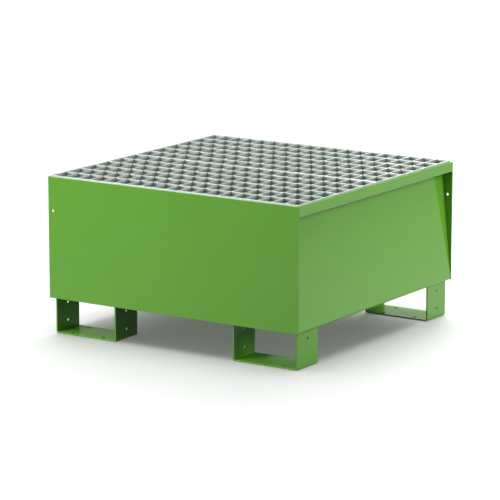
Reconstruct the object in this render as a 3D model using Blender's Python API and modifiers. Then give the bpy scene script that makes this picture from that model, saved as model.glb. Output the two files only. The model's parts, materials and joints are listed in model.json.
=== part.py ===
"""Steel spill containment pallet for one 200-litre drum.

A trough folded from one sheet is closed by two flat end plates and stands on four U-shaped feet,
which take a truck's forks. Two loose grating panels lie side by side on the trough's folded ledges.
Metres, +Z up. The origin is on the floor, in the middle of the base. X runs across the trough's
section, Y from the front end plate to the rear one.
"""

import math

import bmesh
import bpy
from mathutils import Matrix

# The sump: a folded trough and two end plates.
SIDE = 0.800  # length and width over the sheet metal
FOOT_HEIGHT = 0.100  # floor to the underside of the sump
WALL_HEIGHT = 0.335  # underside of the sump to the top of its rim
SHEET = 0.003
BEND_RADIUS = 0.005  # outer radius of the folds
RIM = 0.030  # height of the rim above the underside of the ledge, and width of the ledge
END_HOLE_DIAMETER = 0.007
END_HOLE_FROM_SIDE = 0.0145
END_HOLE_BELOW_TOP = 0.0935

# The feet: U profiles, open to the front and the rear.
FOOT_WIDTH = 0.200
FOOT_LENGTH = 0.100
FOOT_SHEET = 0.004
FOOT_FROM_SIDE = 0.011
FOOT_FROM_FRONT = 0.014
LEG_HOLE_DIAMETER = 0.0075
LEG_HOLE_HEIGHTS = (0.028, 0.078)
PAD_HOLE_DIAMETER = 0.012
PAD_HOLE_SPACING = (0.100, 0.070)

# The grating: two equal panels of flat bars.
BAR_HEIGHT = 0.030
BAR_THICKNESS = 0.003
CROSS_BAR_HEIGHT = 0.012
CROSS_BAR_THICKNESS = 0.0025
CELLS_ACROSS = 19
CELLS_DEEP = 6  # in each panel
PANEL_CLEARANCE = 0.003  # to the rim and the end plates
PANEL_SPLIT = 0.002  # between the two panels

GAP = 0.0003  # left between pieces that touch or are welded
DRILL_OVERRUN = 0.010  # how far a drill stands out past the metal at each end
HOLE_SIDES = 24
BEND_STEPS = 4
SHARP_ANGLE = math.radians(30)  # edges that turn more than this are folds or corners

# Worked out from the sizes above.
RIM_TOP = FOOT_HEIGHT + WALL_HEIGHT
LEDGE_UNDERSIDE = RIM_TOP - RIM
PANEL_BASE = LEDGE_UNDERSIDE + SHEET + GAP
PANEL_WIDTH = SIDE - 2 * (SHEET + PANEL_CLEARANCE)
PANEL_DEPTH = (PANEL_WIDTH - PANEL_SPLIT) / 2
CROSS_PITCH = (PANEL_WIDTH - BAR_THICKNESS) / CELLS_ACROSS
BEARING_PITCH = (PANEL_DEPTH - BAR_THICKNESS) / CELLS_DEEP
INNER_WIDTH = PANEL_WIDTH - 2 * (BAR_THICKNESS + GAP)
INNER_DEPTH = PANEL_DEPTH - 2 * (BAR_THICKNESS + GAP)

UPRIGHT = (math.pi / 2, 0, 0)  # stands an outline drawn in X and Y up in the XZ plane


def clear_scene():
    """Removes the start-up objects."""
    for obj in list(bpy.data.objects):
        bpy.data.objects.remove(obj)


def new_collection(name):
    """A collection in the scene."""
    collection = bpy.data.collections.new(name)
    bpy.context.scene.collection.children.link(collection)
    return collection


def new_material(name, colour, roughness, metallic):
    """A plain Principled material."""
    material = bpy.data.materials.new(name)
    material.use_nodes = True
    shader = material.node_tree.nodes["Principled BSDF"]
    shader.inputs["Base Color"].default_value = (*colour, 1)
    shader.inputs["Roughness"].default_value = roughness
    shader.inputs["Metallic"].default_value = metallic
    return material


def add_object(name, data, collection, location=(0, 0, 0), rotation=(0, 0, 0), parent=None):
    """Places a mesh or a curve in the model."""
    obj = bpy.data.objects.new(name, data)
    obj.location = location
    obj.rotation_euler = rotation
    obj.parent = parent
    collection.objects.link(obj)
    return obj


def box_mesh(name, size, material):
    """A box of this size about the origin."""
    bm = bmesh.new()
    bmesh.ops.create_cube(bm, size=1, matrix=Matrix.Diagonal((*size, 1)))
    mesh = bpy.data.meshes.new(name)
    bm.to_mesh(mesh)
    bm.free()
    mesh.materials.append(material)
    return mesh


def circle(radius, x, y):
    """Points round a circle in the plane."""
    turns = [2 * math.pi * step / HOLE_SIDES for step in range(HOLE_SIDES)]
    return [(x + radius * math.cos(turn), y + radius * math.sin(turn)) for turn in turns]


def rectangle(width, height):
    """The corners of a rectangle in the plane, about the origin."""
    signs = ((-1, -1), (1, -1), (1, 1), (-1, 1))
    return [(x * width / 2, y * height / 2) for x, y in signs]


def flat_outline(name, outlines, thickness, material):
    """A flat piece: the first outline is its edge, and the others are holes in it."""
    curve = bpy.data.curves.new(name, "CURVE")
    curve.dimensions = "2D"
    curve.fill_mode = "BOTH"
    curve.extrude = thickness / 2
    for outline in outlines:
        spline = curve.splines.new("POLY")
        spline.points.add(len(outline) - 1)
        for point, (x, y) in zip(spline.points, outline):
            point.co = (x, y, 0, 1)
        spline.use_cyclic_u = True
    curve.materials.append(material)
    return curve


def folded_sheet(name, profile, length, thickness, collection, material):
    """Sheet metal folded along Y: its profile's right half in X and Z, mirrored at X = 0.

    The profile is the sheet's outer face, and the thickness goes inwards and upwards from it.
    """
    bm = bmesh.new()
    corners = [bm.verts.new((x, -length / 2, z)) for x, z in profile]
    edges = [bm.edges.new(pair) for pair in zip(corners, corners[1:])]
    drawn = bmesh.ops.extrude_edge_only(bm, edges=edges)["geom"]
    moved = [item for item in drawn if isinstance(item, bmesh.types.BMVert)]
    bmesh.ops.translate(bm, verts=moved, vec=(0, length, 0))
    mesh = bpy.data.meshes.new(name)
    bm.to_mesh(mesh)
    bm.free()
    mesh.materials.append(material)
    sheet = add_object(name, mesh, collection)

    mirror = sheet.modifiers.new("both halves", "MIRROR")
    mirror.merge_threshold = 0.0001
    bend = sheet.modifiers.new("bends", "BEVEL")
    bend.limit_method = "ANGLE"
    bend.angle_limit = SHARP_ANGLE
    bend.width = BEND_RADIUS
    bend.segments = BEND_STEPS
    wall = sheet.modifiers.new("sheet", "SOLIDIFY")
    wall.thickness = thickness
    wall.offset = -1
    wall.use_even_offset = True
    return sheet


def add_cylinder(name, radius, length, location, rotation, collection):
    """A cylinder used to drill a hole."""
    bm = bmesh.new()
    bmesh.ops.create_cone(
        bm, cap_ends=True, segments=HOLE_SIDES, radius1=radius, radius2=radius, depth=length
    )
    mesh = bpy.data.meshes.new(name)
    bm.to_mesh(mesh)
    bm.free()
    drill = add_object(name, mesh, collection, location, rotation)
    drill.hide_render = True
    drill.display_type = "WIRE"
    return drill


def applied_mesh(obj):
    """The object's mesh with its modifiers applied."""
    graph = bpy.context.evaluated_depsgraph_get()
    return bpy.data.meshes.new_from_object(obj.evaluated_get(graph))


def shade_round(obj):
    """Smooth shading, with the sharp edges kept."""
    obj.data.shade_smooth()
    obj.data.set_sharp_from_angle(angle=SHARP_ANGLE)


def add_trough(collection, paint):
    """Floor, two walls that lean in towards the top, two ledges and their rims, in one sheet."""
    half = SIDE / 2
    profile = [
        (0, FOOT_HEIGHT),
        (half, FOOT_HEIGHT),
        (half - RIM, LEDGE_UNDERSIDE),
        (half, LEDGE_UNDERSIDE),
        (half, RIM_TOP),
    ]
    length = SIDE - 2 * (SHEET + GAP)
    return folded_sheet("sump_trough", profile, length, SHEET, collection, paint)


def add_end_plates(collection, paint):
    """Two flat plates as wide as the trough, with a hole at each upper corner."""
    hole_x = SIDE / 2 - END_HOLE_FROM_SIDE
    hole_y = WALL_HEIGHT / 2 - END_HOLE_BELOW_TOP
    outlines = [rectangle(SIDE, WALL_HEIGHT)]
    outlines += [circle(END_HOLE_DIAMETER / 2, side * hole_x, hole_y) for side in (-1, 1)]
    for name, end in (("front_end_plate", -1), ("rear_end_plate", 1)):
        plate = flat_outline(name, outlines, SHEET, paint)
        place = (0, end * (SIDE - SHEET) / 2, FOOT_HEIGHT + WALL_HEIGHT / 2)
        add_object(name, plate, collection, place, UPRIGHT)


def foot_mesh(collection, cutters, paint):
    """One U-shaped foot, with its holes drilled, standing on the origin."""
    half = FOOT_WIDTH / 2
    profile = [(0, 0), (half, 0), (half, FOOT_HEIGHT - GAP)]
    foot = folded_sheet("foot_blank", profile, FOOT_LENGTH, FOOT_SHEET, collection, paint)
    drills = [
        add_cylinder(
            f"leg_drill_{number}",
            LEG_HOLE_DIAMETER / 2,
            FOOT_WIDTH + 2 * DRILL_OVERRUN,
            (0, 0, height),
            (0, math.pi / 2, 0),
            cutters,
        )
        for number, height in enumerate(LEG_HOLE_HEIGHTS, 1)
    ]
    drills += [
        add_cylinder(
            f"pad_drill_{number}",
            PAD_HOLE_DIAMETER / 2,
            FOOT_SHEET + 2 * DRILL_OVERRUN,
            (x, y, FOOT_SHEET / 2),
            (0, 0, 0),
            cutters,
        )
        for number, (x, y) in enumerate(rectangle(*PAD_HOLE_SPACING), 1)
    ]
    for drill in drills:
        cut = foot.modifiers.new(drill.name, "BOOLEAN")
        cut.operation = "DIFFERENCE"
        cut.object = drill
    bpy.context.view_layer.update()
    mesh = applied_mesh(foot)
    mesh.name = "u_foot"
    bpy.data.objects.remove(foot)
    return mesh


def add_feet(collection, cutters, paint):
    """Four equal feet near the corners."""
    mesh = foot_mesh(collection, cutters, paint)
    x = SIDE / 2 - FOOT_FROM_SIDE - FOOT_WIDTH / 2
    y = SIDE / 2 - FOOT_FROM_FRONT - FOOT_LENGTH / 2
    for end, end_sign in (("front", -1), ("rear", 1)):
        for side, side_sign in (("left", -1), ("right", 1)):
            name = f"foot_{end}_{side}"
            shade_round(add_object(name, mesh, collection, (side_sign * x, end_sign * y, 0)))


def cross_bar_places():
    """The X of each bar that runs from front to rear, without the banding."""
    first = -(PANEL_WIDTH - BAR_THICKNESS) / 2
    return [first + number * CROSS_PITCH for number in range(1, CELLS_ACROSS)]


def bearing_bar_places():
    """The Y of each bar that runs from ledge to ledge, from the panel's middle, without the banding."""
    first = -(PANEL_DEPTH - BAR_THICKNESS) / 2
    return [first + number * BEARING_PITCH for number in range(1, CELLS_DEEP)]


def bearing_bar_outline():
    """A flat bar seen from the front, with a slot in its top edge for each cross bar."""
    top = BAR_HEIGHT / 2
    slot_floor = top - CROSS_BAR_HEIGHT - GAP
    half_slot = CROSS_BAR_THICKNESS / 2 + GAP
    outline = [(INNER_WIDTH / 2, top), (INNER_WIDTH / 2, -top)]
    outline += [(-INNER_WIDTH / 2, -top), (-INNER_WIDTH / 2, top)]
    for x in cross_bar_places():
        outline += [(x - half_slot, top), (x - half_slot, slot_floor)]
        outline += [(x + half_slot, slot_floor), (x + half_slot, top)]
    return outline


def add_grating_panel(end, end_sign, collection, zinc):
    """One panel: edge banding, bearing bars across it and cross bars pressed into their slots."""
    panel = add_object(f"{end}_grating", None, collection)
    panel.location = (0, end_sign * (PANEL_SPLIT + PANEL_DEPTH) / 2, PANEL_BASE)

    inside = (PANEL_WIDTH - 2 * BAR_THICKNESS, PANEL_DEPTH - 2 * BAR_THICKNESS)
    outlines = [rectangle(PANEL_WIDTH, PANEL_DEPTH), rectangle(*inside)]
    banding = flat_outline(f"{end}_edge_banding", outlines, BAR_HEIGHT, zinc)
    add_object(banding.name, banding, collection, (0, 0, BAR_HEIGHT / 2), parent=panel)

    bearing_bar = flat_outline(f"{end}_bearing", [bearing_bar_outline()], BAR_THICKNESS, zinc)
    for number, y in enumerate(bearing_bar_places(), 1):
        name = f"{end}_bearing_bar_{number}"
        add_object(name, bearing_bar, collection, (0, y, BAR_HEIGHT / 2), UPRIGHT, panel)

    size = (CROSS_BAR_THICKNESS, INNER_DEPTH, CROSS_BAR_HEIGHT)
    cross_bar = box_mesh(f"{end}_cross", size, zinc)
    height = BAR_HEIGHT - CROSS_BAR_HEIGHT / 2
    for number, x in enumerate(cross_bar_places(), 1):
        name = f"{end}_cross_bar_{number:02d}"
        add_object(name, cross_bar, collection, (x, 0, height), parent=panel)


def main():
    """Builds the pallet."""
    clear_scene()
    pallet = new_collection("spill_containment_pallet")
    cutters = new_collection("cutters")
    paint = new_material("green_paint", colour=(0.12, 0.40, 0.02), roughness=0.2, metallic=0.0)
    zinc = new_material("galvanised_steel", colour=(0.60, 0.64, 0.63), roughness=0.4, metallic=0.6)
    add_trough(pallet, paint)
    add_end_plates(pallet, paint)
    add_feet(pallet, cutters, paint)
    for end, end_sign in (("front", -1), ("rear", 1)):
        add_grating_panel(end, end_sign, pallet, zinc)


main()
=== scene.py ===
# %% [markdown]
# # A steel spill containment pallet
#
# A drum of oil or solvent stands on the grating, and the green sump below catches whatever leaks.
# The sump is one folded sheet closed by two flat plates, on four U-shaped feet that let a truck's
# forks through. The grating is two galvanised panels, which only lie on the sump's ledges.
#
# The solid model that this lesson starts from has every piece in its place with square edges.
# Here each piece is made again as a fabricator would make it, with rounded edges, true bends and
# a real finish, and rides on the same moving body as the plain piece that it stands for.

# %% Load the solid model
import json
import math

import bpy
import numpy as np
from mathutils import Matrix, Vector
from mathutils.geometry import delaunay_2d_cdt

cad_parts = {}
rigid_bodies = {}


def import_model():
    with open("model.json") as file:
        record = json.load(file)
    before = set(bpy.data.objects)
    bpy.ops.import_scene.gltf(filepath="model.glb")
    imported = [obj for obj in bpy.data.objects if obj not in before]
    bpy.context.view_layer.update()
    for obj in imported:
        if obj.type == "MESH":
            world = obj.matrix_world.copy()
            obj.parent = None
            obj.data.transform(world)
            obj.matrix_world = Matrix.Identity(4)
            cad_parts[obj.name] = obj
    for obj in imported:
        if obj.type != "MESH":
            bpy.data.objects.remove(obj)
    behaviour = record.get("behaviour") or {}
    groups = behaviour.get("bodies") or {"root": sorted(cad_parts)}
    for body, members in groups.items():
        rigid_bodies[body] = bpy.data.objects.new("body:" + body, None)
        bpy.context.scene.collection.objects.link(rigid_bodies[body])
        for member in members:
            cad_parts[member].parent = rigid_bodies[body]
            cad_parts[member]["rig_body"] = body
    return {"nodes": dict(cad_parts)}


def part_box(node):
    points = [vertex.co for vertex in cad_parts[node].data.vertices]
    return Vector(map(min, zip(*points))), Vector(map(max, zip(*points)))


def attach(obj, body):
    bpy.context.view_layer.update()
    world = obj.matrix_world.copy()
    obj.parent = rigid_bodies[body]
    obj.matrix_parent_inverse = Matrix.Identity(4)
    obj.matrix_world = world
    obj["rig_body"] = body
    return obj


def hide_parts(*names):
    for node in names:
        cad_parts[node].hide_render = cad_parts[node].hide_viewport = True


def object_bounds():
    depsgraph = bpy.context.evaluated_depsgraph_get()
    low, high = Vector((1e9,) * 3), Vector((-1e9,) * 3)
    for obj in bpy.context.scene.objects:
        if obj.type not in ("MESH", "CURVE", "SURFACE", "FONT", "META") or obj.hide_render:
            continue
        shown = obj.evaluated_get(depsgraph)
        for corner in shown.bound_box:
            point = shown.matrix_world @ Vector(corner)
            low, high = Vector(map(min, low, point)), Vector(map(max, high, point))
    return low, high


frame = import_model()
cad_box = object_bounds()

# %% [markdown]
# ## Camera
#
# A long lens from 8 m away gives the flat, nearly parallel perspective of a catalogue picture.
# It could be placed by hand. Working its place out from an angle round the object, an angle above
# the floor and a distance keeps three numbers that can be changed one at a time.

# %% Place the camera
CAMERA_ROUND = math.radians(33.303)  # to the right of the front plate's own direction
CAMERA_ABOVE = math.radians(11.784)
CAMERA_DISTANCE = 8.0
CAMERA_AIM = Vector((-0.0242, 0.0203, 0.2017))
SENSOR_WIDTH = 36  # millimetres, as is the focal length
FOCAL_LENGTH = 208.6

towards_camera = Vector(
    (
        math.sin(CAMERA_ROUND) * math.cos(CAMERA_ABOVE),
        -math.cos(CAMERA_ROUND) * math.cos(CAMERA_ABOVE),
        math.sin(CAMERA_ABOVE),
    )
)
lens = bpy.data.cameras.new("catalogue camera")
lens.sensor_width = SENSOR_WIDTH
lens.lens = FOCAL_LENGTH
camera = bpy.data.objects.new("catalogue camera", lens)
camera.location = CAMERA_AIM + CAMERA_DISTANCE * towards_camera
camera.rotation_euler = (math.pi / 2 - CAMERA_ABOVE, 0, CAMERA_ROUND)
bpy.context.scene.collection.objects.link(camera)
bpy.context.scene.camera = camera
print("camera at", [round(value, 3) for value in camera.location])

# %% [markdown]
# ## Colours and shader nodes
#
# Colours are easiest to choose as the sRGB hex values of a colour picker, but a shader counts in
# linear light, so one function turns one into the other. A second one adds any shader node, with
# its settings and whatever feeds it, so that a material reads as a short list of nodes.

# %% Helpers for materials


def linear(colour):
    """An sRGB hex value as linear light: the curve's straight foot, and its 2.4 power above it."""
    channels = [int(colour[place : place + 2], 16) / 255 for place in (1, 3, 5)]
    return [c / 12.92 if c <= 0.04045 else ((c + 0.055) / 1.055) ** 2.4 for c in channels] + [1]


def add(tree, kind, settings=None, inputs=None):
    """Adds a shader node. An input is a value, or the socket that feeds it."""
    node = tree.nodes.new(kind)
    for name, value in (settings or {}).items():
        setattr(node, name, value)
    for name, value in (inputs or {}).items():
        if isinstance(value, bpy.types.NodeSocket):
            tree.links.new(value, node.inputs[name])
        else:
            node.inputs[name].default_value = value
    return node


def new_material(name):
    """A material with an empty node tree, and its output node."""
    material = bpy.data.materials.new(name)
    material.use_nodes = True
    material.node_tree.nodes.clear()
    return material, material.node_tree, add(material.node_tree, "ShaderNodeOutputMaterial")


# %% [markdown]
# ## Powder-coated steel
#
# The sump and feet are sprayed with dry polyester powder and baked. It melts into a glossy plastic
# skin about 0.08 mm thick: a strong even colour, sharp reflections at a flat angle, a fine
# orange-peel ripple and, under it, the slight waviness of a folded sheet. The ripple's real grain
# is 2 or 3 mm. It is drawn a little coarser, because finer grain can't be seen from 8 m.

# %% Powder coat material
COAT_COLOUR = "#65AA2C"
COAT_DEEP = "#60A329"  # where the skin is a little thicker
COAT_IOR = 1.45
COAT_ROUGHNESS = (0.12, 0.18)  # where the skin is thin, and where it is thick
ORANGE_PEEL = 0.006  # how wide a ripple is, in metres
PEEL_DEPTH = 0.00005
PEEL_STRENGTH = 0.6
SHEET_WAVES = 0.280  # how wide a wave is, in metres
WAVE_DEPTH = 0.0006
WAVE_STRENGTH = 0.5


def powder_coated_steel():
    material, tree, output = new_material("powder-coated steel, yellow-green, gloss")
    place = add(tree, "ShaderNodeTexCoord").outputs["Object"]
    drift = add(
        tree,
        "ShaderNodeTexNoise",
        inputs={"Vector": place, "Scale": 1 / SHEET_WAVES, "Detail": 2.0, "Roughness": 0.5},
    )
    peel = add(
        tree,
        "ShaderNodeTexNoise",
        inputs={"Vector": place, "Scale": 1 / ORANGE_PEEL, "Detail": 1.0, "Roughness": 0.4},
    )
    colour = add(
        tree,
        "ShaderNodeMix",
        {"data_type": "RGBA"},
        {0: drift.outputs["Fac"], 6: linear(COAT_COLOUR), 7: linear(COAT_DEEP)},
    )
    gloss = add(
        tree,
        "ShaderNodeMapRange",
        inputs={
            "Value": drift.outputs["Fac"],
            "To Min": COAT_ROUGHNESS[0],
            "To Max": COAT_ROUGHNESS[1],
        },
    )
    waves = add(
        tree,
        "ShaderNodeBump",
        inputs={
            "Height": drift.outputs["Fac"],
            "Distance": WAVE_DEPTH,
            "Strength": WAVE_STRENGTH,
        },
    )
    ripple = add(
        tree,
        "ShaderNodeBump",
        inputs={
            "Height": peel.outputs["Fac"],
            "Distance": PEEL_DEPTH,
            "Strength": PEEL_STRENGTH,
            "Normal": waves.outputs["Normal"],
        },
    )
    skin = add(
        tree,
        "ShaderNodeBsdfPrincipled",
        inputs={
            "Base Color": colour.outputs[2],
            "Roughness": gloss.outputs["Result"],
            "Normal": ripple.outputs["Normal"],
            "IOR": COAT_IOR,
        },
    )
    tree.links.new(skin.outputs["BSDF"], output.inputs["Surface"])
    return material


coat = powder_coated_steel()
print("made", coat.name)

# %% [markdown]
# ## Hot-dip galvanised steel
#
# The finished panels are dipped in molten zinc. It freezes into crystals called spangle, a few
# millimetres across, each turned its own way, so neighbouring patches differ a little in
# brightness and polish. A Voronoi texture gives each crystal one value, and a soft noise dulls
# the zinc in clouds, where it has begun to weather to a matt grey.
#
# Below their top few millimetres the sides of the bars turn a darker grey. This is painted shade, for
# the shade that falls deep in the cells, where little light reaches.
# The shader is also only partly metallic: less so on the sides, more so on the top. The height above
# the floor says which is which, and a short fade between the two keeps the line soft.

# %% Galvanised material
ZINC_BRIGHT = "#DCE0DF"
ZINC_DULL = "#C0C6C5"
# Painted shade: the darker grey of the bars' sides deep in the cells, where little light reaches.
ZINC_PAINTED_SHADE = "#98A09B"
PAINTED_SHADE_BELOW = cad_box[1][2] - 0.008  # below this height the bars' sides are painted in shade
PAINTED_SHADE_ENDS = cad_box[1][2] - 0.002  # above this one there is no painted shade
SIDE_METALLIC = 0.5
TOP_METALLIC = 0.9
ZINC_ROUGHNESS = (0.34, 0.50)  # of a bright crystal, and of a dull one
SPANGLE = 0.007  # how wide a crystal is, in metres
CRYSTAL_CONTRAST = 0.45  # how far a crystal's own value, from 0 to 1, changes its shade
CRYSTAL_SHIFT = -0.05
ZINC_CLOUDS = 0.090  # how wide a cloud is, in metres
CLOUD_DEPTH = 0.0004
CLOUD_STRENGTH = 0.5


def hot_dip_galvanised_steel():
    material, tree, output = new_material("hot-dip galvanised steel")
    place = add(tree, "ShaderNodeTexCoord").outputs["Object"]
    crystals = add(
        tree,
        "ShaderNodeTexVoronoi",
        {"feature": "F1"},
        {"Vector": place, "Scale": 1 / SPANGLE, "Randomness": 1.0},
    )
    clouds = add(
        tree,
        "ShaderNodeTexNoise",
        inputs={"Vector": place, "Scale": 1 / ZINC_CLOUDS, "Detail": 4.0, "Roughness": 0.6},
    )
    crystal_value = add(tree, "ShaderNodeSeparateColor", inputs={0: crystals.outputs["Color"]})
    shade = add(
        tree,
        "ShaderNodeMath",
        {"operation": "MULTIPLY_ADD"},
        {0: crystal_value.outputs[0], 1: CRYSTAL_CONTRAST, 2: CRYSTAL_SHIFT},
    )
    shade = add(
        tree,
        "ShaderNodeMath",
        {"operation": "ADD", "use_clamp": True},
        {0: shade.outputs[0], 1: clouds.outputs["Fac"]},
    )
    colour = add(
        tree,
        "ShaderNodeMix",
        {"data_type": "RGBA"},
        {0: shade.outputs[0], 6: linear(ZINC_BRIGHT), 7: linear(ZINC_DULL)},
    )
    # Painted shade: below the top few millimetres the bars' sides turn a darker grey, for the shade
    # deep in the cells.
    height = add(tree, "ShaderNodeSeparateXYZ", inputs={"Vector": place})
    out_of_painted_shade = add(
        tree,
        "ShaderNodeMapRange",
        {"interpolation_type": "SMOOTHSTEP"},
        {"Value": height.outputs["Z"], "From Min": PAINTED_SHADE_BELOW, "From Max": PAINTED_SHADE_ENDS},
    )
    colour = add(
        tree,
        "ShaderNodeMix",
        {"data_type": "RGBA"},
        {0: out_of_painted_shade.outputs["Result"], 6: linear(ZINC_PAINTED_SHADE), 7: colour.outputs[2]},
    )
    metallic_by_height = add(
        tree,
        "ShaderNodeMapRange",
        inputs={
            "Value": out_of_painted_shade.outputs["Result"],
            "To Min": SIDE_METALLIC,
            "To Max": TOP_METALLIC,
        },
    )
    polish = add(
        tree,
        "ShaderNodeMapRange",
        inputs={
            "Value": shade.outputs[0],
            "To Min": ZINC_ROUGHNESS[0],
            "To Max": ZINC_ROUGHNESS[1],
        },
    )
    relief = add(
        tree,
        "ShaderNodeBump",
        inputs={
            "Height": clouds.outputs["Fac"],
            "Distance": CLOUD_DEPTH,
            "Strength": CLOUD_STRENGTH,
        },
    )
    zinc = add(
        tree,
        "ShaderNodeBsdfPrincipled",
        inputs={
            "Base Color": colour.outputs[2],
            "Metallic": metallic_by_height.outputs["Result"],
            "Roughness": polish.outputs["Result"],
            "Normal": relief.outputs["Normal"],
        },
    )
    tree.links.new(zinc.outputs["BSDF"], output.inputs["Surface"])
    return material


galvanised = hot_dip_galvanised_steel()
print("made", galvanised.name)

# %% [markdown]
# ## One way to make every piece: a flat blank
#
# Everything here is cut from flat steel: the end plates, the bars, and also the trough and the
# feet, which are folded afterwards. So every piece can start as a blank, an outline with holes.
# A Boolean or a Bevel modifier could make one, but they leave uneven faces and shading.
# Here the edge is a surface of two parameters: one runs round the outline, and the other goes over
# the rounded edge from one face of the sheet to the other. The faces are filled up to that edge.
# The same formula gives the exact normals, so flat faces shade flat and edges catch the light.

# %% Outlines
CORNER_STEPS = 4


def rounded_rectangle(size, radius, centre=(0, 0), stops=()):
    """Points and outward normals round a rectangle, anticlockwise.

    Each corner is a quarter circle: its centre plus the radius times (cos a, sin a). Stops are
    extra places along the two sides that run in the first direction, where a fold will cross.
    """
    half = np.array(size) / 2 - radius
    points, normals = [], []
    for quarter, signs in enumerate(((1, 1), (-1, 1), (-1, -1), (1, -1))):
        angles = (quarter + np.linspace(0, 1, CORNER_STEPS + 1)) * math.pi / 2
        directions = np.stack([np.cos(angles), np.sin(angles)], axis=1)
        points.append(half * signs + radius * directions)
        normals.append(directions)
        if len(stops) and quarter in (0, 2):
            along = np.sort(np.array(stops) - centre[0])[:: -1 if quarter == 0 else 1]
            side = signs[1]
            points.append(np.stack([along, np.full(len(along), side * size[1] / 2)], axis=1))
            normals.append(np.tile([0.0, side], (len(along), 1)))
    return np.concatenate(points) + centre, np.concatenate(normals)


def round_hole(diameter, centre, sides=32):
    """A circle walked clockwise, so that the metal stays on the left and its normal points in."""
    angles = -np.linspace(0, 2 * math.pi, sides, endpoint=False)
    directions = np.stack([np.cos(angles), np.sin(angles)], axis=1)
    return centre + diameter / 2 * directions, -directions


def as_hole(outline):
    """Turns an outline into a hole: walked the other way, with its normals turned round."""
    points, normals = outline
    return points[::-1], -normals[::-1]


# %% [markdown]
# ### Filling and rounding the blank
#
# The edge's profile is a quarter circle, the straight edge of the sheet, and a quarter circle.
# At angle a on a quarter circle of radius r the point is r (cos a - 1) outside the outline and
# r sin a above the circle's centre. The two faces are filled by a Delaunay triangulation, which
# keeps holes open and can be told where to put an edge: at every line where the blank will bend.

# %% Blank to mesh
EDGE_STEPS = 3
ON_THE_LINE = 1e-7  # metres within which a point of the outline counts as lying on a fold line
SAME_POINT = 1e-9  # metres within which the triangulation takes two points for one


def edge_profile(thickness, radius):
    """Offsets, heights and normal angles over the sheet's edge, from its top face to its bottom."""
    quarter = np.linspace(math.pi / 2, 0, EDGE_STEPS + 1)
    angles = np.concatenate([quarter, -quarter[::-1]])
    straight = (thickness / 2 - radius) * np.repeat([1, -1], EDGE_STEPS + 1)
    return radius * (np.cos(angles) - 1), straight + radius * np.sin(angles), angles


def fill_face(outlines, fold_lines):
    """Triangles between the outlines, with an edge along each fold line.

    The first outline is the outer one. The others are holes, and none of them is hollowed, so
    a triangle with all its corners on one hole lies inside that hole and is dropped.
    """
    points = np.concatenate(outlines)
    owner = np.repeat(np.arange(len(outlines)), [len(outline) for outline in outlines])
    following = np.concatenate([np.roll(np.flatnonzero(owner == n), -1) for n in range(len(outlines))])
    edges = np.stack([np.arange(len(points)), following], axis=1).tolist()
    outer = outlines[0]
    for line in fold_lines:
        ends = np.flatnonzero(np.abs(outer[:, 0] - line) < ON_THE_LINE)
        edges.append([int(ends[0]), int(ends[-1])])
    triangles_inside = 1
    corners = [Vector(point) for point in points]
    found = delaunay_2d_cdt(corners, edges, [], triangles_inside, SAME_POINT)
    assert len(found[0]) == len(points), "a fold line misses the outline's points"
    order = np.array([sources[0] for sources in found[3]])
    triangles = order[np.array(found[2])]
    owners = owner[triangles]
    in_hole = (owners.min(axis=1) == owners.max(axis=1)) & (owners[:, 0] > 0)
    return triangles[~in_hole]


def blank(outlines, thickness, radius, fold_lines=()):
    """A blank's vertices as (along, across, height), their normals in the same frame, and faces."""
    offsets, heights, angles = edge_profile(thickness, radius)
    rows = len(offsets)
    counts = [len(points) for points, _ in outlines]
    points = np.concatenate([points for points, _ in outlines])
    normals = np.concatenate([normals for _, normals in outlines])
    flat = points + offsets[:, None, None] * normals
    places = np.dstack([flat, np.broadcast_to(heights[:, None], flat.shape[:2])])
    turned = np.cos(angles)[:, None, None] * normals
    facing = np.dstack([turned, np.broadcast_to(np.sin(angles)[:, None], flat.shape[:2])])

    total, first, faces = len(points), 0, []
    for count in counts:
        ring = first + np.arange(count)
        following = first + (np.arange(count) + 1) % count
        row = np.arange(rows - 1)[:, None] * total
        quads = np.stack([row + ring, row + total + ring, row + total + following, row + following])
        faces += np.moveaxis(quads, 0, -1).reshape(-1, 4).tolist()
        first += count
    splits = np.cumsum(counts)[:-1]
    top = fill_face(np.split(flat[0], splits), fold_lines)
    bottom = top[:, ::-1] + (rows - 1) * total
    faces += top.tolist() + bottom.tolist()
    return places.reshape(-1, 3), facing.reshape(-1, 3), faces


# %% [markdown]
# ### Laying the blank in place
#
# A flat piece only needs three directions: where the blank's two sides and its thickness point.
# The mesh then gets the worked-out normals, and its volume is added up from its faces as a check
# that they all point outwards: a surface turned inside out would have a negative one.

# %% Mesh to piece
MM = 0.001


def volume(vertices, faces):
    """Sum over the faces, cut in triangles, of a . (b x c) / 6."""
    fans = [(f[0], f[i], f[i + 1]) for f in faces for i in range(1, len(f) - 1)]
    a, b, c = vertices[np.array(fans).T]
    return float(np.einsum("ij,ij->", a, np.cross(b, c)) / 6)


def lay(shape, origin, along, across):
    """Turns and moves a blank: its own axes become along, across and their cross product."""
    vertices, normals, faces = shape
    axes = np.array([along, across, np.cross(along, across)], float)
    return vertices @ axes + np.array(origin), normals @ axes, faces


def piece(name, shape, material, node):
    """Makes the mesh, gives it its normals and finish, and lets it stand for the solid's node."""
    vertices, normals, faces = shape
    mesh = bpy.data.meshes.new(name)
    mesh.from_pydata(vertices.tolist(), [], faces)
    mesh.shade_smooth()
    mesh.normals_split_custom_set_from_vertices(normals.tolist())
    mesh.materials.append(material)
    made = bpy.data.objects.new(name, mesh)
    bpy.context.scene.collection.objects.link(made)
    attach(made, frame["nodes"][node]["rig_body"])
    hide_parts(node)
    return made


def node_box(node):
    """A solid's middle and size, in metres."""
    low, high = (np.array(corner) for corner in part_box(node))
    return (low + high) / 2, high - low


# %% [markdown]
# ## End plates
#
# Two flat plates close the folded trough at the front and the rear. Each has one see-through hole
# near either side, outside the sloping walls, so it doesn't let the sump leak. A laser cuts them,
# and the coat rounds the cut edge to about half a millimetre.

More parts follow.
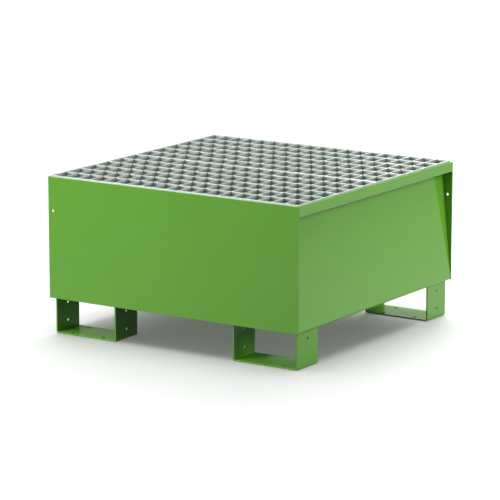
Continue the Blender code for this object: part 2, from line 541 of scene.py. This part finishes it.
# %% End plates
CUT_EDGE = 0.6 * MM
PLATE_CORNER = 1.5 * MM
PLATE_HOLE = 7 * MM
HOLE_FROM_SIDE = 14.5 * MM
HOLE_BELOW_TOP = 93.5 * MM

for node in ("front_end_plate", "rear_end_plate"):
    middle, size = node_box(node)
    outlines = [rounded_rectangle((size[0], size[2]), PLATE_CORNER)]
    for side in (-1, 1):
        hole = np.array([side * (size[0] / 2 - HOLE_FROM_SIDE), size[2] / 2 - HOLE_BELOW_TOP])
        outlines.append(round_hole(PLATE_HOLE, hole))
    plate = lay(blank(outlines, size[1], CUT_EDGE), middle, (1, 0, 0), (0, 0, 1))
    piece(f"{node}_sheet", plate, coat, node)
    print(node, "steel volume", round(volume(plate[0], plate[2]) * 1e6), "cm3")

# %% [markdown]
# ## Folding
#
# A press brake bends a flat blank along straight lines. In numbers: the middle of the sheet is a
# path of straight runs joined by arcs, and a point at distance s along the blank lands at distance
# s along that path. Half the thickness away on either side lie the sheet's two faces, so the
# same arcs give a tight radius inside each fold and a wide one outside, as in real metal.

# %% Folded path
BEND_STEPS = 8


def offset_corners(corners, distance):
    """Moves a path to its left by a distance, keeping its runs parallel."""
    corners = np.array(corners, float)
    runs = np.diff(corners, axis=0)
    runs /= np.linalg.norm(runs, axis=1, keepdims=True)
    left = np.stack([-runs[:, 1], runs[:, 0]], axis=1)
    before, after = np.vstack([left[:1], left]), np.vstack([left, left[-1:]])
    mitre = (before + after) / (1 + np.sum(before * after, axis=1, keepdims=True))
    return corners + distance * mitre


class FoldedPath:
    """Straight runs joined by arcs: where a distance along the flat blank ends up."""

    def __init__(self, corners, radius):
        runs = np.diff(corners, axis=0)
        lengths = np.linalg.norm(runs, axis=1)
        headings = np.unwrap(np.arctan2(runs[:, 1], runs[:, 0]))
        turns = np.diff(headings)
        cut = radius * np.tan(np.abs(turns) / 2)
        straights = lengths - np.append(cut, 0) - np.append(0, cut)
        arcs = radius * np.abs(turns)
        steps = np.zeros(len(straights) + len(arcs))
        steps[0::2], steps[1::2] = straights, arcs
        self.ends = np.concatenate([[0], np.cumsum(steps)])
        self.length = self.ends[-1]
        self.curvature = np.zeros(len(steps))
        self.curvature[1::2] = np.sign(turns) / radius
        self.heading = np.zeros(len(steps))
        self.heading[0::2] = headings
        self.heading[1::2] = headings[:-1]
        self.start = np.array([corners[0]] * len(steps), float)
        for number in range(1, len(steps)):
            place, _ = self.walk(number - 1, steps[number - 1])
            self.start[number] = place

    def walk(self, run, distance):
        """Place and heading at a distance into each run: a line, or an arc of constant curvature."""
        bend = self.curvature[run]
        turned = self.heading[run] + bend * distance
        half = bend * distance / 2
        chord = distance * np.sinc(half / math.pi)
        middle = self.heading[run] + half
        step = np.stack([chord * np.cos(middle), chord * np.sin(middle)], axis=-1)
        return self.start[run] + step, turned

    def at(self, distance):
        """Place and heading at each distance along the whole path."""
        run = np.clip(np.searchsorted(self.ends, distance, "right") - 1, 0, len(self.heading) - 1)
        return self.walk(run, distance - self.ends[run])

    def fold_lines(self):
        """Distances along the blank at which its faces need an edge."""
        arcs = range(1, len(self.heading), 2)
        bends = [np.linspace(*self.ends[n : n + 2], BEND_STEPS + 1) for n in arcs]
        return np.concatenate(bends)


def fold(shape, path):
    """Bends a blank: its first direction follows the path in X and Z, and its second is Y."""
    vertices, normals, faces = shape
    place, heading = path.at(vertices[:, 0])
    along = np.stack([np.cos(heading), np.sin(heading)], axis=1)
    left = np.stack([-along[:, 1], along[:, 0]], axis=1)
    section = place + left * vertices[:, 2:3]
    turned = along * normals[:, 0:1] + left * normals[:, 2:3]
    folded = np.stack([section[:, 0], vertices[:, 1], section[:, 1]], axis=1)
    facing = np.stack([turned[:, 0], normals[:, 1], turned[:, 1]], axis=1)
    return folded, facing, faces


# %% [markdown]
# ## The trough
#
# One sheet makes the rim, the ledge that carries the grating, the sloping wall, the floor, and
# the same again on the other side. Seen from the front it is a path of seven straight runs
# joined by six folds, given here by the corners of its outer face.

# %% Trough
FOLD_RADIUS = 4 * MM  # at the middle of the sheet
SHEET = 3 * MM
RIM = 30 * MM

middle, size = node_box("sump_trough")
half, low, high = size[0] / 2, middle[2] - size[2] / 2, middle[2] + size[2] / 2
right_side = [(half, low), (half - RIM, high - RIM), (half, high - RIM), (half, high)]
left_side = [(-x, z) for x, z in reversed(right_side)]
path = FoldedPath(offset_corners(left_side + right_side, SHEET / 2), FOLD_RADIUS)
lines = path.fold_lines()
sheet = rounded_rectangle(
    (path.length, size[1]), PLATE_CORNER, centre=(path.length / 2, 0), stops=lines
)
trough = fold(blank([sheet], SHEET, CUT_EDGE, lines), path)
piece("sump_trough_sheet", trough, coat, "sump_trough")
print("trough blank", round(path.length * 1000), "mm, volume", volume(trough[0], trough[2]) * 1e6)

# %% [markdown]
# ## The feet
#
# Each foot is a strip folded to a U. Two holes in each leg and four in the pad let it be bolted
# to a floor or a frame. They are cut in the flat strip, where their places are simple distances,
# and the fold carries them round.

# %% Feet
FOOT_SHEET = 4 * MM
LEG_HOLE = 7.5 * MM
LEG_HOLE_HEIGHTS = (28 * MM, 78 * MM)
PAD_HOLE = 12 * MM
PAD_HOLE_X = 50 * MM
PAD_HOLE_Y = 35 * MM

for end in ("front", "rear"):
    for side in ("left", "right"):
        node = f"foot_{end}_{side}"
        middle, size = node_box(node)
        half = size[0] / 2
        corners = [(-half, size[2]), (-half, 0), (half, 0), (half, size[2])]
        path = FoldedPath(offset_corners(corners, FOOT_SHEET / 2), FOLD_RADIUS)
        lines = path.fold_lines()
        centre = path.length / 2
        outlines = [rounded_rectangle((path.length, size[1]), PLATE_CORNER, (centre, 0), lines)]
        for height in LEG_HOLE_HEIGHTS:
            for place in (size[2] - height, path.length - size[2] + height):
                outlines.append(round_hole(LEG_HOLE, np.array([place, 0])))
        for x in (-PAD_HOLE_X, PAD_HOLE_X):
            for y in (-PAD_HOLE_Y, PAD_HOLE_Y):
                outlines.append(round_hole(PAD_HOLE, np.array([centre + x, y])))
        foot, facing, faces = fold(blank(outlines, FOOT_SHEET, CUT_EDGE, lines), path)
        foot += (middle[0], middle[1], middle[2] - size[2] / 2)
        piece(f"{node}_strip", (foot, facing, faces), coat, node)
print("foot blank", round(path.length * 1000), "mm, volume", volume(foot, faces) * 1e6)

# %% [markdown]
# ## The grating panels
#
# Deep bearing bars run from ledge to ledge and carry the load. Shallow cross bars are pressed
# into slots in their top edges, and a flat band goes round the outside. Dipping the finished
# panel rounds every edge with zinc. Each bar is a blank too, standing on its edge.

# %% Bars
ZINC_EDGE = 0.7 * MM
BAR_CORNER = 0.9 * MM

for end in ("front", "rear"):
    node = f"{end}_edge_banding"
    middle, size = node_box(node)
    inside = size[:2] - 2 * SHEET
    band = [rounded_rectangle(size[:2], BAR_CORNER), as_hole(rounded_rectangle(inside, BAR_CORNER))]
    ring = lay(blank(band, size[2], ZINC_EDGE), middle, (1, 0, 0), (0, 1, 0))
    piece(f"{end}_banding_ring", ring, galvanised, node)
    for node in [name for name in frame["nodes"] if name.startswith(end) and "_bar_" in name]:
        middle, size = node_box(node)
        long, thin = (0, 1) if size[0] > size[1] else (1, 0)
        outline = rounded_rectangle((size[long], size[2]), BAR_CORNER)
        along = np.eye(3)[long]
        bar = lay(blank([outline], size[thin], ZINC_EDGE), middle, along, (0, 0, 1))
        piece(f"{node}_rolled", bar, galvanised, node)
    print(end, "panel:", sum(name.startswith(end) for name in frame["nodes"]), "nodes")

# %% [markdown]
# ## Floor and light
#
# A pale sheet of paper runs far past the picture, as in a studio. Real paper throws light back up
# at the object. Here it is hidden from the rays that gather soft light, so it doesn't: the sump's
# underside and the insides of the feet stay dark, which shows that the tub stands off the floor.
# A little light of its own keeps the shadow on it a clear, even grey.

# %% Floor
FLOOR_SIZE = 60.0
FLOOR_GLOW = 0.12  # how bright the paper is where no lamp reaches it
PAPER_LIGHT = "#EDEDED"
PAPER_DARK = "#EAEAEB"
PAPER_CLOUDS = 3.0  # how many of its faint clouds there are to a metre

floor_material, tree, output = new_material("white studio paper")
place = add(tree, "ShaderNodeTexCoord").outputs["Object"]
fibres = add(
    tree, "ShaderNodeTexNoise", inputs={"Vector": place, "Scale": PAPER_CLOUDS, "Detail": 3.0}
)
shade = add(
    tree,
    "ShaderNodeMix",
    {"data_type": "RGBA"},
    {0: fibres.outputs["Fac"], 6: linear(PAPER_LIGHT), 7: linear(PAPER_DARK)},
)
paper = add(
    tree,
    "ShaderNodeBsdfPrincipled",
    inputs={
        "Base Color": shade.outputs[2],
        "Roughness": 1.0,
        "Specular IOR Level": 0.0,
        "Emission Color": linear("#FFFFFF"),
        "Emission Strength": FLOOR_GLOW,
    },
)
tree.links.new(paper.outputs["BSDF"], output.inputs["Surface"])
corner = FLOOR_SIZE / 2
floor_mesh = bpy.data.meshes.new("studio floor")
floor_mesh.from_pydata(
    [(-corner, -corner, 0), (corner, -corner, 0), (corner, corner, 0), (-corner, corner, 0)],
    [],
    [(0, 1, 2, 3)],
)
floor_mesh.materials.append(floor_material)
floor = bpy.data.objects.new("studio_floor", floor_mesh)
floor.visible_diffuse = False
floor.visible_shadow = False
bpy.context.scene.collection.objects.link(floor)

# %% [markdown]
# ### Soft boxes and the room
#
# Wide square lamps, because a wide lamp gives a shadow a soft edge. One hangs overhead and gives
# the pallet its even shadow all round. The left one shapes the front plate, brighter at its top
# left, and the right one reaches in under the rim and opens up the sloping wall. Low lamps would
# wash the shadow out, so light linking lets these two skip the floor. A small one low behind the
# pallet skims the grating, so that the zinc glints more towards the front right corner. The last
# hangs far behind and only whitens the floor there: glossy surfaces don't mirror it. The room
# itself adds an even light from above the horizon and almost none from below it.

# %% Light
ROOM_ABOVE = 0.28
ROOM_BELOW = 0.02
HORIZON = 0.05  # half the height, in parts of a unit direction, over which one turns into the other

room = bpy.data.worlds.new("white room")
room.use_nodes = True
tree = room.node_tree
direction = add(tree, "ShaderNodeTexCoord").outputs["Generated"]
upwards = add(tree, "ShaderNodeSeparateXYZ", inputs={"Vector": direction})
brightness = add(
    tree,
    "ShaderNodeMapRange",
    inputs={
        "Value": upwards.outputs["Z"],
        "From Min": -HORIZON,
        "From Max": HORIZON,
        "To Min": ROOM_BELOW,
        "To Max": ROOM_ABOVE,
    },
)
tree.nodes["Background"].inputs["Color"].default_value = linear("#FFFFFF")
tree.links.new(brightness.outputs["Result"], tree.nodes["Background"].inputs["Strength"])
bpy.context.scene.world = room
bpy.context.scene.view_settings.view_transform = "Standard"

skipped = bpy.data.collections.new("what the side lights skip")
skipped.objects.link(floor)
skipped.collection_objects[0].light_linking.link_state = "EXCLUDE"

SIDE_LIGHTS = ("left soft box", "right soft box")
SOFT_BOXES = {  # size in metres, place, the point it faces, and watts
    "overhead soft box": (3.2, (0.1, -0.3, 3.4), (0.0, 0.0, 0.0), 102),
    "left soft box": (1.6, (-1.7, -2.6, 1.5), (0.0, 0.0, 0.3), 80),
    "right soft box": (1.6, (2.5, 0.9, 1.3), (0.3, 0.0, 0.3), 52),
    "rear soft box": (0.8, (-0.3, 1.8, 0.95), (0.3, -0.3, 0.44), 14),
    "background light": (14.0, (-6.5, 9.9, 6.0), (-6.5, 9.9, 0.0), 1800),
}

for name, (size, place, aim, watts) in SOFT_BOXES.items():
    light = bpy.data.lights.new(name, "AREA")
    light.size = size
    light.energy = watts
    box = bpy.data.objects.new(name, light)
    box.location = place
    box.rotation_euler = (Vector(aim) - Vector(place)).to_track_quat("-Z", "Y").to_euler()
    box.visible_camera = False
    box.visible_glossy = name != "background light"
    if name in SIDE_LIGHTS:
        box.light_linking.receiver_collection = skipped
    bpy.context.scene.collection.objects.link(box)
    print(name, size, "m,", watts, "W")
